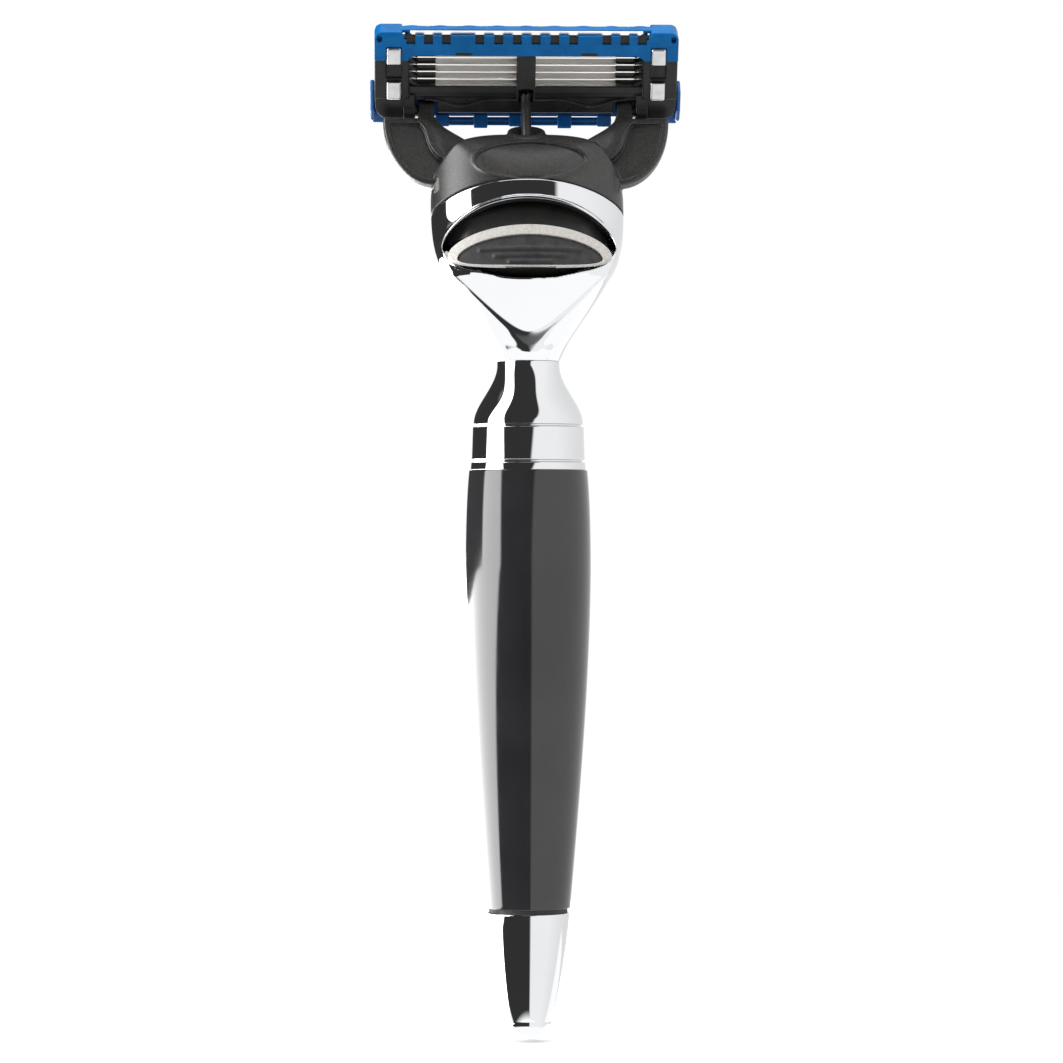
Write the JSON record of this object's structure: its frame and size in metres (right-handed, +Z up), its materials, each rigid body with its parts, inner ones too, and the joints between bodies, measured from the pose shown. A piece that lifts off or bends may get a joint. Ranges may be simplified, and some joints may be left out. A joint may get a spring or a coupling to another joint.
{
  "type": "cartridge razor",
  "caption": "Cartridge razor: turned handle with a polished head and release button, and a click-on cartridge that pivots on its yoke",
  "frame": {"origin": "on the handle's axis, at the waist between the collar and the head", "axes": "+Z up the handle to the head, +X to the right when the button faces the viewer, +Y towards the skin"},
  "size_m": [0.0426, 0.0257, 0.1383],
  "materials": {
    "chrome": "mirror-polished plating",
    "steel_rod": "turned or drawn steel",
    "washer_rubber": "soft black rubber",
    "black_resin": "polished black resin",
    "black_nylon": "moulded, satin",
    "satin_metal": "satin, fine grain",
    "pad_rubber": "soft, fine grain",
    "charcoal_plastic": "moulded, fine texture",
    "black_plastic": "moulded",
    "clip_metal": "bright rolled strip",
    "blue_plastic": "moulded, semi-gloss",
    "blade_steel": "ground strip",
    "strip_polymer": "waxy",
    "fin_rubber": "soft moulded fins"
  },
  "bodies": {
    "handle": {"end_cap": "chrome", "tie_rod": "steel_rod", "cap_washer": "washer_rubber", "grip_sleeve": "black_resin", "collar": "chrome", "head_shell": "chrome", "dock_insert": "black_nylon", "return_spring": "steel_rod", "plunger_spring": "steel_rod"},
    "ejector": {"ejector_slide": "black_nylon", "button_ring": "satin_metal", "button_pad": "pad_rubber"},
    "plunger": {"plunger": "black_nylon"},
    "yoke": {"yoke": "charcoal_plastic"},
    "cartridge": {"cartridge_frame": "black_plastic", "clip_left": "clip_metal", "clip_right": "clip_metal", "trimmer_carrier": "blue_plastic", "trimmer_blade": "blade_steel", "lubricating_strip": "strip_polymer", "comb_guard": "blue_plastic", "guard_fins": "fin_rubber"},
    "blade_unit_1": {"blade_support_1": "blade_steel", "blade_1": "blade_steel"},
    "blade_unit_2": {"blade_support_2": "blade_steel", "blade_2": "blade_steel"},
    "blade_unit_3": {"blade_support_3": "blade_steel", "blade_3": "blade_steel"},
    "blade_unit_4": {"blade_support_4": "blade_steel", "blade_4": "blade_steel"},
    "blade_unit_5": {"blade_support_5": "blade_steel", "blade_5": "blade_steel"}
  },
  "joints": [
    {"name": "eject_slide", "type": "slide", "parent": "handle", "child": "ejector", "axis": [0, 0.5, 0.866], "range_m": [0, 0.0032], "stiffness_N_per_m": 600, "springref_m": -0.0015, "deforming": ["return_spring"]},
    {"name": "cartridge_release", "type": "slide", "parent": "ejector", "child": "yoke", "axis": [0, 0.5, 0.866], "range_m": [0, 0.016]},
    {"name": "cartridge_pivot", "type": "hinge", "parent": "yoke", "child": "cartridge", "pos_m": [0, 0.013, 0.03502], "axis": [1, 0, 0], "range_deg": [0, 40], "stiffness_Nm_per_rad": 0.004, "springref_deg": -28.65},
    {"name": "plunger_slide", "type": "slide", "parent": "handle", "child": "plunger", "axis": [0, -0.5, -0.866], "range_m": [0, 0.0025], "deforming": ["plunger_spring"]},
    {"name": "blade_1_float", "type": "slide", "parent": "cartridge", "child": "blade_unit_1", "axis": [0, -0.8829, -0.4695], "range_m": [0, 0.00025], "stiffness_N_per_m": 800, "springref_m": -0.0001},
    {"name": "blade_2_float", "type": "slide", "parent": "cartridge", "child": "blade_unit_2", "axis": [0, -0.8829, -0.4695], "range_m": [0, 0.00025], "stiffness_N_per_m": 800, "springref_m": -0.0001},
    {"name": "blade_3_float", "type": "slide", "parent": "cartridge", "child": "blade_unit_3", "axis": [0, -0.8829, -0.4695], "range_m": [0, 0.00025], "stiffness_N_per_m": 800, "springref_m": -0.0001},
    {"name": "blade_4_float", "type": "slide", "parent": "cartridge", "child": "blade_unit_4", "axis": [0, -0.8829, -0.4695], "range_m": [0, 0.00025], "stiffness_N_per_m": 800, "springref_m": -0.0001},
    {"name": "blade_5_float", "type": "slide", "parent": "cartridge", "child": "blade_unit_5", "axis": [0, -0.8829, -0.4695], "range_m": [0, 0.00025], "stiffness_N_per_m": 800, "springref_m": -0.0001}
  ],
  "couplings": [
    {"joint": "plunger_slide", "follows": "cartridge_pivot", "m_per_rad": 0.00358}
  ]
}
